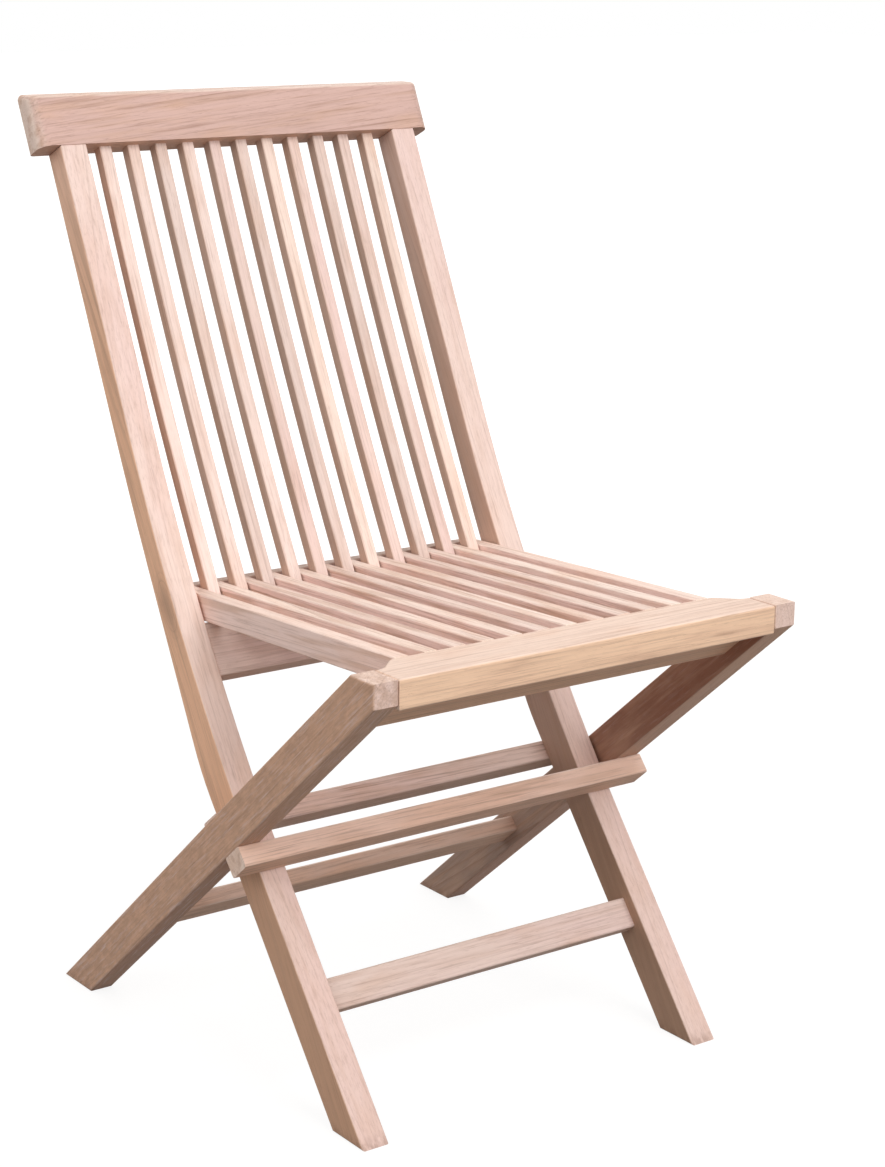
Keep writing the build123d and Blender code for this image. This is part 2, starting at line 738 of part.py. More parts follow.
print(f"size {overall_width:.1f} x {overall_depth:.1f} x {overall_height:.1f} mm")
print(f"crossing pin at y {crossing[0]:.2f}, z {crossing[1]:.2f}")
print(f"seat pin at y {seat_pin[0]:.2f}, z {seat_pin[1]:.2f}")
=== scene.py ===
"""Folding teak garden chair: wood and metal finishes, floor, light and camera.

The chair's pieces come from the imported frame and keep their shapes. Each one gets its own
cut of teak, with the grain running along it.
"""

import random
from math import cos, pi, radians, sin

import bpy
from mathutils import Euler, Matrix, Vector

bl_info = {
    "name": "Folding Teak Chair",
    "version": (1, 0, 0),
    "blender": (4, 5, 0),
    "location": "3D View > Sidebar > Folding Chair",
    "description": "Finishes, floor, light and camera for a folding teak garden chair",
    "category": "Object",
}

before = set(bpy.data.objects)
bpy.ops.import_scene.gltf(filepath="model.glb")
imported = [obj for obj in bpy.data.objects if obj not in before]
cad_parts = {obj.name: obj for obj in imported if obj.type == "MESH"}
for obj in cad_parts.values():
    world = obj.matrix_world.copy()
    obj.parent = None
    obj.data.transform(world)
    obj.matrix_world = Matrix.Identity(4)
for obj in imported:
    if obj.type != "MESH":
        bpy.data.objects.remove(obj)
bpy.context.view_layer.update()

# Leans of the members in degrees from upright, positive when the top goes to the rear.
STILE_LEAN = 31.0
FOOT_LEAN = 38.8
BACK_LEAN = 25.9
RAIL_LEAN = 31.2
LEG_LEAN = -49.4
SEAT_LEAN = 92.6
LEVEL = 90.0

# The boards that the pieces are cut from, in the words of teak() below.
# A side colour is partly the wood's own and partly painted shade of the sides.
BACK_BOARDS = {
    # On the stiles and the right leg, low names a painted shade of the sides near the floor, and
    # with it the front is darkened there too.
    "left_stile": dict(
        lean=STILE_LEAN, face="blush", tone=1.05, low="tan", figure=0.7,
        knot=(-0.201, 0.071, 0.413),
    ),
    "right_stile": dict(
        lean=STILE_LEAN, face="blush", side="taupe", tone=1.01, low="umber", figure=0.6
    ),
    "crest_rail": dict(
        lean=BACK_LEAN, across=True, face="rose", tone=1.05, figure=1.3,
        pith=0.04, spread=2.2, slope=0.1,
    ),
    "lower_back_rail": dict(lean=RAIL_LEAN, across=True, face="blush", tone=0.95),
    "front_stretcher": dict(lean=FOOT_LEAN, across=True, face="blush", tone=0.88),
    "upper_rear_stretcher": dict(
        lean=FOOT_LEAN, across=True, face="blush", tone=0.93, figure=1.4
    ),
}
# On the legs, nose sets a painted highlight on their forward faces.
LEG_BOARDS = {
    "left_short_leg": dict(
        lean=LEG_LEAN, face="umber", side="umber", tone=1.12,
        weather=0.75, nose_highlight=0.8, spread=0.8,
    ),
    # The right leg's side and low colours are painted shade, for the deep shade under the seat.
    "right_short_leg": dict(
        lean=LEG_LEAN, face="umber", side="russet_shade", tone=1.12, low="taupe",
        weather=0.2, nose_highlight=0.8, spread=0.8,
    ),
    "stop_bar": dict(lean=LEG_LEAN, across=True, face="peach", tone=1.06, figure=1.4),
    "lower_rear_stretcher": dict(
        lean=LEG_LEAN, across=True, face="taupe", tone=1.22, figure=1.4
    ),
    "upper_leg_stretcher": dict(lean=LEG_LEAN, across=True, face="tan", tone=1.1),
}
SEAT_BOARDS = {
    "front_rail": dict(lean=LEVEL, across=True, face="honey", tone=1.06, spread=0.9),
    "seat_rear_rail": dict(lean=LEVEL, across=True, face="blush", tone=0.9),
    "left_side_rail": dict(lean=SEAT_LEAN, face="blush", side="blush", tone=1.19),
    "right_side_rail": dict(lean=SEAT_LEAN, face="blush", side="blush", tone=1.19),
}
DOWEL_BOARDS = {
    "stretcher_dowels": dict(lean=FOOT_LEAN, face="rose", side="rose"),
    "stop_bar_dowels": dict(lean=FOOT_LEAN, face="rose", side="rose"),
}

# The boards that slats are drawn from, each with its tone, and how far a slat's own
# tone lies from that of its board.
SLAT_BOARDS = (("shell", 1.07), ("blush", 0.98), ("shell", 0.97), ("cream", 1.01))
SLAT_TONES = (0.95, 1.05)

# Patterns of the wood: cells per metre across the grain, the share of the distance that
# counts along the grain (less draws them out longer), octaves and roughness.
PATTERNS = {
    "drift": (11.0, 0.10, 2.0, 0.5),
    "broad": (17.0, 0.22, 2.0, 0.5),
    "cloud": (30.0, 0.35, 3.0, 0.55),
    "streak": (130.0, 0.06, 2.0, 0.5),
    "mottle": (150.0, 0.45, 4.0, 0.65),
    "silver": (420.0, 0.07, 3.0, 0.7),
    "fibre": (620.0, 0.025, 3.0, 0.6),
    "pore": (1500.0, 0.07, 1.0, 0.5),
}

# Masks: the value at which each one starts and the value at which it is full.
MASKS = {
    # on the patterns
    "drifting": (0.38, 0.68),
    "lined": (0.25, 0.55),
    "clouded": (0.48, 0.70),
    "streaked": (0.47, 0.68),
    "stained": (0.34, 0.62),
    "silvered": (0.50, 0.72),
    "fibrous": (0.46, 0.76),
    "porous": (0.60, 0.74),
    "soiled": (0.35, 0.60),
    # through one growth ring
    "ring_close": (0.965, 1.0),
    # on one part of the direction in which a face looks
    "end": (0.75, 0.95),
    "square": (0.80, 0.97),
    "cheek": (0.5, 0.9),
    "upward": (0.55, 0.9),
    "downward": (-0.30, -0.75),
    "forward": (-0.85, -0.98),
    # on the height above the floor, in metres
    "high_side": (0.60, 0.85),
    # painted shade of the sides near the floor fades out over this height
    "off_low_side": (0.14, 0.32),
    # painted shade of the fronts near the floor
    "low_face_shade": (0.42, 0.14),
    # painted shade under the legs near the floor
    "leg_under_shading": (0.42, 0.05),
    "toe": (0.012, 0.001),
    # on the distance from the knot and from the middle of the floor, in metres
    "off_knot": (0.002, 0.022),
    "far_floor": (0.9, 2.6),
}

# Coats of colour over the wood: the colour, its tone, how much of it covers and how much
# of that is lost on end grain.
COATS = {
    # painted highlight: upward faces turn paler, as if lit from above
    "top_highlight": ("cream", 0.94, 0.8, 0.0),
    "high_side": ("blush", 1.0, 0.35, 0.0),
    # painted shade: fronts darker near the floor
    "low_face_shade": ("rose", 1.0, 0.4, 0.0),
    # painted highlight: forward faces of the legs turn paler
    "nose_highlight": ("blush", 0.95, 1.0, 0.0),
    "end": ("cream", 1.1, 0.8, 0.0),
    "knot": ("umber", 0.7, 0.6, 0.0),
    # painted shade: downward faces darker, on pieces across the chair and on the posts
    "under_shade_rail": ("tan", 0.66, 0.60, 0.0),
    "under_shade_post": ("umber", 0.75, 0.45, 0.0),
    # painted highlight along the rounded edges
    "edge": ("cream", 1.0, 0.30, 0.0),
    "cloud": ("umber", 1.1, 0.30, 0.0),
    # painted shade: leg undersides darker near the floor
    "leg_under_shade": ("russet_shade", 1.2, 0.55, 0.0),
    "stain": ("umber", 0.66, 1.0, 0.0),
    "silver": ("blush", 0.85, 1.0, 0.0),
    "line": ("line", 1.0, 0.62, 0.45),
    "fibre": ("line", 1.0, 0.38, 0.22),
    "pore": ("line", 0.7, 0.16, 0.0),
    "soil": ("line", 0.9, 0.45, 0.0),
}

LOG_REACH = 3.0  # metres up or down the log to where a board may start
LOG_TILT = 0.02  # radians between a board and its log
RING_SWAY = 0.024  # metres by which the rings wander
LATE_WOOD_POWER = 4.0  # more makes the dark part of a ring narrower
FAINTEST_RING = 0.15  # share of its dark line that a weak ring keeps
RING_CONTRAST = 3.0  # more leaves fewer strong rings
KNOT_LENGTH_SHARE = 0.45  # width of a knot against its length
KNOT_BULGE = 0.018  # metres by which rings swing round a knot
DRIFT_SHARE = 0.6  # of the second colour, at most
DRIFT_TONE = 0.88  # of the second colour, where it isn't cream
# Painted shade: how dark the sides turn near the floor.
LOW_SIDE_SHADE_TONE = 0.66  # of the sides near the floor
STREAK_TONE = 0.85
STREAK_SHARE = 0.26  # of the streaks, on the front and the back
SIDE_STREAK = 0.24  # more of them on the sides
END_STREAK = 0.20  # fewer of them on end grain
LEAST_STAIN = 0.35  # share of the stain in its palest parts
PORE_FADE = 0.6  # share of the pores that is gone in late wood
FIBRE_ROUGHNESS = 0.16
PORE_ROUGHNESS = 0.10
FIBRE_RELIEF = 0.55
PORE_RELIEF = -0.8
LINE_RELIEF = 0.25
RELIEF_STRENGTH = 0.8
WOOD_SPECULAR = 0.30

SCRATCHES = 2500.0  # cells per metre
SCRATCH_SHARE = 0.4
SCRATCH_TONE = 0.6
SCRATCH_ROUGHNESS = 0.2
STEEL_ROUGHNESS = 0.30
BRASS_ROUGHNESS = 0.38

FLOOR_WHITE = 1.06  # level of the floor near the chair, with the light that falls on it
FLOOR_ROUGHNESS = 0.9
WHITE = (1.0, 1.0, 1.0, 1.0)
SENSOR_WIDTH = 36.0  # millimetres

# Lamps: the setting that holds the power, the place, the side and the colour.
LAMPS = {
    "key_lamp": ("key_power", (0.6, -3.4, 3.0), 3.0, (1.0, 0.99, 0.985)),
    "side_lamp": ("side_power", (-3.2, -1.4, 2.8), 2.0, (1.0, 0.96, 0.9)),
    "rear_lamp": ("rear_power", (1.6, 3.4, 2.8), 2.5, (1.0, 0.98, 0.95)),
}


# ---------------------------------------------------------------- shader maths
class Wire:
    """A socket of a node tree that takes part in arithmetic."""

    def __init__(self, recipe, socket):
        self.recipe = recipe
        self.socket = socket

    def math(self, operation, *values):
        return self.recipe.add(
            "ShaderNodeMath", {"operation": operation}, dict(enumerate(values))
        )

    def __add__(self, other):
        return self.math("ADD", self, other)

    def __sub__(self, other):
        return self.math("SUBTRACT", self, other)

    def __mul__(self, other):
        return self.math("MULTIPLY", self, other)

    def __truediv__(self, other):
        return self.math("DIVIDE", self, other)

    def __pow__(self, other):
        return self.math("POWER", self, other)

    def __radd__(self, other):
        return self.math("ADD", other, self)

    def __rsub__(self, other):
        return self.math("SUBTRACT", other, self)

    def __rmul__(self, other):
        return self.math("MULTIPLY", other, self)

    def __abs__(self):
        return self.math("ABSOLUTE", self)

    def whole(self):
        return self.math("FLOOR", self)

    def part(self):
        return self.math("FRACT", self)

    def either(self, other):
        return self.math("MAXIMUM", self, other)

    def rise(self, low, high):
        """0 below low, 1 above high and a smooth step between them."""
        return self.recipe.add(
            "ShaderNodeMapRange",
            {"interpolation_type": "SMOOTHSTEP"},
            {"Value": self, "From Min": low, "From Max": high},
        )

    def reach(self, mask):
        """The mask of that name, read from this value."""
        return self.rise(*MASKS[mask])


class Recipe:
    """The node tree of a material or of the sky, under construction."""

    def __init__(self, holder):
        self.holder = holder
        holder.use_nodes = True
        self.tree = holder.node_tree
        self.tree.nodes.clear()

    def add(self, kind, settings, inputs, output=0):
        """Add a node, set it up, fill its sockets and return one of its outputs."""
        node = self.tree.nodes.new(kind)
        for name, value in settings.items():
            setattr(node, name, value)
        for key, value in inputs.items():
            socket = self.find(node.inputs, key)
            if isinstance(value, Wire):
                self.tree.links.new(value.socket, socket)
            else:
                socket.default_value = value
        return Wire(self, self.find(node.outputs, output))

    @staticmethod
    def find(sockets, key):
        """Socket by number, identifier or name."""
        if isinstance(key, int):
            return sockets[key]
        for socket in sockets:
            if socket.identifier == key:
                return socket
        return sockets[key]

    def vector(self, operation, first, second):
        return self.add(
            "ShaderNodeVectorMath", {"operation": operation}, {0: first, 1: second}
        )

    def parts(self, vector):
        """The three numbers of a vector."""
        return {
            axis: self.add("ShaderNodeSeparateXYZ", {}, {"Vector": vector}, axis)
            for axis in "XYZ"
        }

    def length(self, vector):
        return self.add(
            "ShaderNodeVectorMath", {"operation": "LENGTH"}, {0: vector}, "Value"
        )

    def noise(self, vector, scale, detail, roughness=0.5, output="Fac"):
        return self.add(
            "ShaderNodeTexNoise",
            {"noise_dimensions": "3D"},
            {"Vector": vector, "Scale": scale, "Detail": detail, "Roughness": roughness},
            output,
        )

    def stretch(self, vector, factors):
        return self.vector("MULTIPLY", vector, factors)

    def pattern(self, log, name, output="Fac"):
        """A pattern of the wood, drawn out along the log."""
        scale, along, octaves, roughness = PATTERNS[name]
        drawn = self.stretch(log, (1.0, 1.0, along))
        return self.noise(drawn, scale, octaves, roughness, output)

    def mix(self, factor, first, second):
        """Blend two colours."""
        return self.add(
            "ShaderNodeMix",
            {"data_type": "RGBA"},
            {"Factor_Float": factor, "A_Color": first, "B_Color": second},
            "Result_Color",
        )

    def surface(self, shader, kind="ShaderNodeOutputMaterial"):
        """End the tree in an output and return what it belongs to."""
        output = self.tree.nodes.new(kind)
        self.tree.links.new(shader.socket, output.inputs["Surface"])
        return self.holder


def shade(colour, tone):
    """A colour made darker or lighter, with full alpha."""
    return tuple(min(1.0, channel * tone) for channel in colour[:3]) + (1.0,)


# ---------------------------------------------------------------- settings
class TeakFinish(bpy.types.PropertyGroup):
    """Colours and figure of the bare, sanded teak."""

    blush: bpy.props.FloatVectorProperty(
        name="Blush wood", description="Pale pink faces of the stiles and slats",
        subtype="COLOR", size=3, min=0, max=1, default=(0.86, 0.655, 0.608),
    )
    # Cream is the wood's own pale colour; on upward faces and rounded edges it is also a painted
    # highlight.
    cream: bpy.props.FloatVectorProperty(
        name="Cream wood", description="Palest wood, on upward faces, edges and end grain",
        subtype="COLOR", size=3, min=0, max=1, default=(0.885, 0.715, 0.635),
    )
    shell: bpy.props.FloatVectorProperty(
        name="Shell wood", description="Between blush and cream, for the lighter slats",
        subtype="COLOR", size=3, min=0, max=1, default=(0.875, 0.705, 0.645),
    )
    rose: bpy.props.FloatVectorProperty(
        name="Rosy wood", description="Pinker, darker wood of the crest rail and the dowels",
        subtype="COLOR", size=3, min=0, max=1, default=(0.66, 0.450, 0.400),
    )
    honey: bpy.props.FloatVectorProperty(
        name="Honey wood", description="Warm wood of the front rail",
        subtype="COLOR", size=3, min=0, max=1, default=(0.90, 0.625, 0.440),
    )
    peach: bpy.props.FloatVectorProperty(
        name="Peach wood", description="Between blush and honey, on the stop bar",
        subtype="COLOR", size=3, min=0, max=1, default=(0.86, 0.600, 0.490),
    )
    # Tan is a wood colour; under the rails and on the sides of the left stile it also carries
    # painted shade.
    tan: bpy.props.FloatVectorProperty(
        name="Tan wood", description="Warm sides of the left stile and undersides of rails",
        subtype="COLOR", size=3, min=0, max=1, default=(0.95, 0.580, 0.390),
    )
    # On the sides of the back slats and of the right stile, taupe also carries painted shade.
    taupe: bpy.props.FloatVectorProperty(
        name="Taupe wood", description="Greyer brown, as on the sides of the back slats",
        subtype="COLOR", size=3, min=0, max=1, default=(0.62, 0.440, 0.360),
    )
    umber: bpy.props.FloatVectorProperty(
        name="Umber wood", description="Brown wood of the short legs",
        subtype="COLOR", size=3, min=0, max=1, default=(0.64, 0.400, 0.280),
    )
    # Painted shade: this dark red brown stands for the deep shade on the right leg's sides and
    # under the legs near the floor.
    russet_shade: bpy.props.FloatVectorProperty(
        name="Russet wood", description="Red brown heartwood on the sides of the right leg",
        subtype="COLOR", size=3, min=0, max=1, default=(0.31, 0.140, 0.088),
    )
    line: bpy.props.FloatVectorProperty(
        name="Ring line", description="Dark late wood at the end of each growth ring",
        subtype="COLOR", size=3, min=0, max=1, default=(0.30, 0.165, 0.115),
    )
    ring_spacing: bpy.props.FloatProperty(
        name="Ring spacing", description="Distance between growth rings",
        subtype="DISTANCE", unit="LENGTH", default=0.0042, min=0.001, max=0.02,
    )
    pore_depth: bpy.props.FloatProperty(
        name="Pore depth", description="Depth of the open pores and the raised grain",
        subtype="DISTANCE", unit="LENGTH", default=0.00025, min=0, max=0.002,
    )
    roughness: bpy.props.FloatProperty(
        name="Roughness", description="Mean roughness of the sanded face",
        subtype="FACTOR", default=0.66, min=0, max=1,
    )


class HardwareFinish(bpy.types.PropertyGroup):
    """Colours of the pins and washers."""

    steel: bpy.props.FloatVectorProperty(
        name="Pin steel", description="Brushed steel of the pivot pins",
        subtype="COLOR", size=3, min=0, max=1, default=(0.60, 0.60, 0.61),
    )
    brass: bpy.props.FloatVectorProperty(
        name="Washer brass", description="Dull brass of the crossing washers",
        subtype="COLOR", size=3, min=0, max=1, default=(0.50, 0.34, 0.14),
    )


class StudioSettings(bpy.types.PropertyGroup):
    """Floor, light and camera."""

    floor: bpy.props.FloatVectorProperty(
        name="Floor", description="Light that the floor gives back to the chair",
        subtype="COLOR", size=3, min=0, max=1, default=(0.19, 0.19, 0.19),
    )
    floor_width: bpy.props.FloatProperty(
        name="Floor width", description="Side of the square floor",
        subtype="DISTANCE", unit="LENGTH", default=30.0, min=2, max=100,
    )
    key_power: bpy.props.FloatProperty(
        name="Key light", description="Power of the large lamp above the front",
        unit="POWER", default=98.0, min=0, max=5000,
    )
    side_power: bpy.props.FloatProperty(
        name="Side light", description="Power of the lamp above the left side",
        unit="POWER", default=30.0, min=0, max=5000,
    )
    sky: bpy.props.FloatProperty(
        name="Sky", description="Strength of the light from all round",
        default=0.64, min=0, max=2,
    )
    sky_tint: bpy.props.FloatVectorProperty(
        name="Sky tint", description="Colour of the light from all round",
        subtype="COLOR", size=3, min=0, max=1, default=(1.0, 0.965, 0.925),
    )
    rear_power: bpy.props.FloatProperty(
        name="Rear light", description="Power of the weak lamp high behind the chair",
        unit="POWER", default=22.0, min=0, max=5000,
    )
    lens: bpy.props.FloatProperty(
        name="Lens", description="Focal length on a 36 mm long side",
        subtype="DISTANCE_CAMERA", default=79.92, min=20, max=300,
    )
    azimuth: bpy.props.FloatProperty(
        name="Azimuth", description="Turn of the camera round the chair",
        subtype="ANGLE", default=radians(-36.247),
    )
    elevation: bpy.props.FloatProperty(
        name="Elevation", description="Angle of the camera above level",
        subtype="ANGLE", default=radians(14.628),
    )
    roll: bpy.props.FloatProperty(
        name="Roll", description="Tilt of the camera about its own axis",
        subtype="ANGLE", default=radians(0.626),
    )
    distance: bpy.props.FloatProperty(
        name="Distance", description="From the camera to the point it looks at",
        subtype="DISTANCE", unit="LENGTH", default=2.3638, min=0.5, max=20,
    )
    aim: bpy.props.FloatVectorProperty(
        name="Aim", description="Point that the camera looks at",
        subtype="TRANSLATION", unit="LENGTH", size=3, default=(0.0, -0.0801, 0.4392),
    )


# ---------------------------------------------------------------- finishes
def knot_mask(recipe, board, knot, turn, heart):
    """1 in the middle of a knot, falling to 0 around it."""
    centre = tuple(Euler(turn).to_matrix() @ Vector(knot) + Vector(heart))
    apart = recipe.vector("SUBTRACT", board, centre)
    apart = recipe.stretch(apart, (1.0, 1.0, KNOT_LENGTH_SHARE))
    return 1.0 - recipe.length(apart).reach("off_knot")


def growth_rings(recipe, log, spacing, bulge):
    """Age of the wood within its ring, from 0 to 1, and the dark lines of the rings."""
    sway = recipe.stretch(recipe.pattern(log, "drift", "Color"), (RING_SWAY, RING_SWAY, 0.0))
    flat = recipe.stretch(log, (1.0, 1.0, 0.0))
    radius = recipe.length(recipe.vector("ADD", flat, sway)) + bulge
    ring = radius / spacing
    season = ring.part()
    strength = recipe.add(
        "ShaderNodeTexWhiteNoise", {"noise_dimensions": "1D"}, {"W": ring.whole()}
    )
    late = season ** LATE_WOOD_POWER * (1.0 - season.reach("ring_close"))
    return season, late * (FAINTEST_RING + (1.0 - FAINTEST_RING) * strength ** RING_CONTRAST)


def face_masks(recipe, turn):
    """Masks for the faces of a piece, by how they look in the room and on the grain."""
    normal = recipe.add("ShaderNodeTexCoord", {}, {}, "Normal")
    facing = recipe.add(
        "ShaderNodeVectorRotate",
        {"rotation_type": "EULER_XYZ"},
        {"Vector": normal, "Rotation": turn},
    )
    room = recipe.parts(normal)
    grain = recipe.parts(facing)
    square = abs(grain["X"]).either(abs(grain["Y"])).either(abs(grain["Z"]))
    return {
        "end": abs(grain["Z"]).reach("end"),
        "edge": 1.0 - square.reach("square"),
        "cheek": abs(room["X"]).reach("cheek"),
        "upward": room["Z"].reach("upward"),
        "downward": room["Z"].reach("downward"),
        "forward": room["Y"].reach("forward"),
    }


def teak(name, lean, face, across=False, side="tan", tone=1.0, low=None, weather=0.0,
         nose_highlight=0.0, figure=1.0, pith=0.07, spread=1.0, slope=0.0, knot=None):
    """Teak cut for one piece, with the grain turned along it.

    The wood is a solid log: rings about a pith that lies beside the piece, wavering
    along the trunk. lean is the piece's lean in degrees, and across means that it lies
    across the chair. face and side name the colours of its front and of its left and
    right sides, the side colour being partly the wood's own and partly painted shade of
    the sides; tone makes them lighter or darker, and low is the colour that the sides
    turn to near the floor, a painted shade, and a piece with low also has its front
    darkened near the floor as painted shade. weather is the share of mottled umber, and
    any weather also paints shade under the piece near the floor; nose is how far the
    forward face is lightened, a painted highlight; figure how strongly the grain shows,
    pith the distance to the middle of the log, spread the spacing of the rings against
    the usual, slope the angle at which the grain runs across the face and knot the
    middle of a small knot.
    """
    finish = bpy.context.scene.teak_finish
    draw = random.Random(name)
    recipe = Recipe(bpy.data.materials.new(f"teak_{name}"))
    turn = (radians(lean), radians(-90.0 if across else 0.0), 0.0)
    angle = draw.uniform(0.0, 2.0 * pi)
    heart = (pith * cos(angle), pith * sin(angle), draw.uniform(-LOG_REACH, LOG_REACH))
    tilt = (draw.uniform(-LOG_TILT, LOG_TILT), slope + draw.uniform(-LOG_TILT, LOG_TILT), 0.0)

    place = recipe.add("ShaderNodeTexCoord", {}, {}, "Object")
    height = recipe.parts(place)["Z"]
    board = recipe.add(
        "ShaderNodeMapping", {}, {"Vector": place, "Rotation": turn, "Location": heart}
    )
    log = recipe.add("ShaderNodeMapping", {}, {"Vector": board, "Rotation": tilt})

    near_knot = knot_mask(recipe, board, knot, turn, heart) if knot else None
    bulge = near_knot * KNOT_BULGE if knot else 0.0
    season, late = growth_rings(recipe, log, finish.ring_spacing * spread, bulge)
    broad = recipe.pattern(log, "broad")
    mottle = recipe.pattern(log, "mottle")
    fibre = recipe.pattern(log, "fibre")
    pore = recipe.pattern(log, "pore").reach("porous") * (1.0 - PORE_FADE * season)
    line = late * broad.reach("lined")
    faces = face_masks(recipe, turn)

    def coat(under, mask, layer, level):
        """Lay a coat over a colour where the mask says, thinner on end grain."""
        colour, strength, share, lost = COATS[layer]
        cover = mask * (share - lost * faces["end"]) if lost else mask * share
        return recipe.mix(cover, under, shade(getattr(finish, colour), level * strength))

    front = shade(getattr(finish, face), tone)
    second = shade(finish.cream, tone) if face == "blush" else shade(front, DRIFT_TONE)
    body = recipe.mix(broad.reach("drifting") * DRIFT_SHARE, front, second)
    # Painted highlight: the upward faces turn to pale cream, as if lit from above.
    body = coat(body, faces["upward"], "top_highlight", tone)
    # The sides take the side colour: partly the wood's own, partly painted shade of the sides.
    if not across:
        side_wood_and_shade = shade(getattr(finish, side), tone)
        # Painted shade near the floor: the sides turn to the darker low colour and the front
        # darkens.
        if low:
            low_side_shade = shade(getattr(finish, low), tone * LOW_SIDE_SHADE_TONE)
            side_wood_and_shade = coat(side_wood_and_shade, height.reach("high_side"), "high_side", tone)
            side_wood_and_shade = recipe.mix(height.reach("off_low_side"), low_side_shade, side_wood_and_shade)
            body = coat(body, height.reach("low_face_shade"), "low_face_shade", tone)
        body = recipe.mix(faces["cheek"], body, side_wood_and_shade)
    # Painted highlight: the forward faces turn paler.
    if nose_highlight:
        body = coat(body, faces["forward"] * nose_highlight, "nose_highlight", 1.0)
    body = coat(body, faces["end"], "end", tone)
    if knot:
        body = coat(body, near_knot * near_knot, "knot", 1.0)
    # Painted shade: the downward faces turn darker.
    body = coat(body, faces["downward"], "under_shade_rail" if across else "under_shade_post", tone)
    # Painted highlight: the rounded edges turn paler.
    body = coat(body, faces["edge"], "edge", tone)
    body = coat(body, recipe.pattern(log, "cloud").reach("clouded") * figure, "cloud", tone)
    streaked = STREAK_SHARE + SIDE_STREAK * faces["cheek"] - END_STREAK * faces["end"]
    streak = recipe.pattern(log, "streak").reach("streaked") * streaked * figure
    body = recipe.mix(streak, body, shade(finish.umber, tone * STREAK_TONE))
    if weather:
        # Painted shade: the downward faces of the legs darken further near the floor.
        body = coat(body, faces["downward"] * height.reach("leg_under_shading"), "leg_under_shade", tone)
        stain = mottle.reach("stained") * (LEAST_STAIN + (1.0 - LEAST_STAIN) * broad)
        body = coat(body, stain * weather, "stain", tone)
        silver = recipe.pattern(log, "silver").reach("silvered")
        body = coat(body, silver * weather, "silver", 1.0)
    body = coat(body, line * figure, "line", tone)
    body = coat(body, fibre.reach("fibrous") * figure, "fibre", tone)
    body = coat(body, pore, "pore", tone)
    if not across:
        body = coat(body, height.reach("toe") * mottle.reach("soiled"), "soil", 1.0)

    rough = finish.roughness + FIBRE_ROUGHNESS * (fibre - 0.5) + PORE_ROUGHNESS * pore
    relief = FIBRE_RELIEF * fibre + PORE_RELIEF * pore + LINE_RELIEF * line
    bump = recipe.add(
        "ShaderNodeBump", {},
        {"Height": relief, "Distance": finish.pore_depth, "Strength": RELIEF_STRENGTH},
    )
    shader = recipe.add(
        "ShaderNodeBsdfPrincipled", {},
        {
            "Base Color": body, "Roughness": rough, "Normal": bump,
            "Specular IOR Level": WOOD_SPECULAR,
        },
    )
    return recipe.surface(shader)


def dress(node, material):
    """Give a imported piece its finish, in the slot it already has."""
    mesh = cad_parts[node].data
    if not mesh.materials:
        mesh.materials.append(material)
    for slot in range(len(mesh.materials)):
        mesh.materials[slot] = material


def dress_boards(boards):
    """Cut each piece from its own board."""
    for name, board in boards.items():
        dress(name, teak(name, **board))


def dress_slats(prefix, lean, side, lighter, figure):
    """Give every slat of a row its own board, some rosier and some creamier."""
    for name in sorted(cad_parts):
        if name.startswith(prefix):
            draw = random.Random(name + "board")
            face, tone = draw.choice(SLAT_BOARDS)
            tone *= lighter * draw.uniform(*SLAT_TONES)
            dress(name, teak(name, lean, face, side=side, tone=tone, figure=figure))


def metal(name, colour, roughness):
    """Dull metal with fine scratches."""
    recipe = Recipe(bpy.data.materials.new(name))
    place = recipe.add("ShaderNodeTexCoord", {}, {}, "Object")
    scratch = recipe.noise(place, SCRATCHES, 3.0)
    body = recipe.mix(scratch * SCRATCH_SHARE, shade(colour, 1.0), shade(colour, SCRATCH_TONE))
    rough = roughness + SCRATCH_ROUGHNESS * scratch
    shader = recipe.add(
        "ShaderNodeBsdfPrincipled", {},
        {"Base Color": body, "Metallic": 1.0, "Roughness": rough},
    )
    return recipe.surface(shader)


class CHAIR_OT_back_frame(bpy.types.Operator):
    """Finish the stiles, the crest rail, the back slats and their rails."""

    bl_idname = "chair.back_frame"
    bl_label = "Finish Back Frame"

    def execute(self, context):
        dress_boards(BACK_BOARDS)
        dress_slats("back_slat", BACK_LEAN, side="taupe", lighter=1.04, figure=0.8)
        return {"FINISHED"}


class CHAIR_OT_leg_frame(bpy.types.Operator):
    """Finish the short legs, the stop bar and the two stretchers between the legs."""

    bl_idname = "chair.leg_frame"
    bl_label = "Finish Leg Frame"

    def execute(self, context):
        dress_boards(LEG_BOARDS)
        return {"FINISHED"}


class CHAIR_OT_seat(bpy.types.Operator):
    """Finish the seat rails and the seat slats."""

    bl_idname = "chair.seat"
    bl_label = "Finish Seat"

    def execute(self, context):
        dress_boards(SEAT_BOARDS)
        dress_slats("seat_slat", SEAT_LEAN, side="blush", lighter=1.14, figure=1.3)
        return {"FINISHED"}


class CHAIR_OT_hardware(bpy.types.Operator):
    """Finish the dowels, the pivot pins and the washers."""

    bl_idname = "chair.hardware"
    bl_label = "Finish Hardware"

    def execute(self, context):
        finish = context.scene.hardware_finish
        dress_boards(DOWEL_BOARDS)
        steel = metal("pin_steel", finish.steel, STEEL_ROUGHNESS)
        for name in ("crossing_pins", "seat_pins"):
            dress(name, steel)
        dress("crossing_washers", metal("washer_brass", finish.brass, BRASS_ROUGHNESS))
        return {"FINISHED"}


# ---------------------------------------------------------------- stage
def plain_ray(recipe):
    """1 for what the camera, a reflection or a transmission sees of the surface."""
    seen = [
        recipe.add("ShaderNodeLightPath", {}, {}, ray)
        for ray in ("Is Camera Ray", "Is Glossy Ray", "Is Transmission Ray")
    ]
    return seen[0].either(seen[1]).either(seen[2])


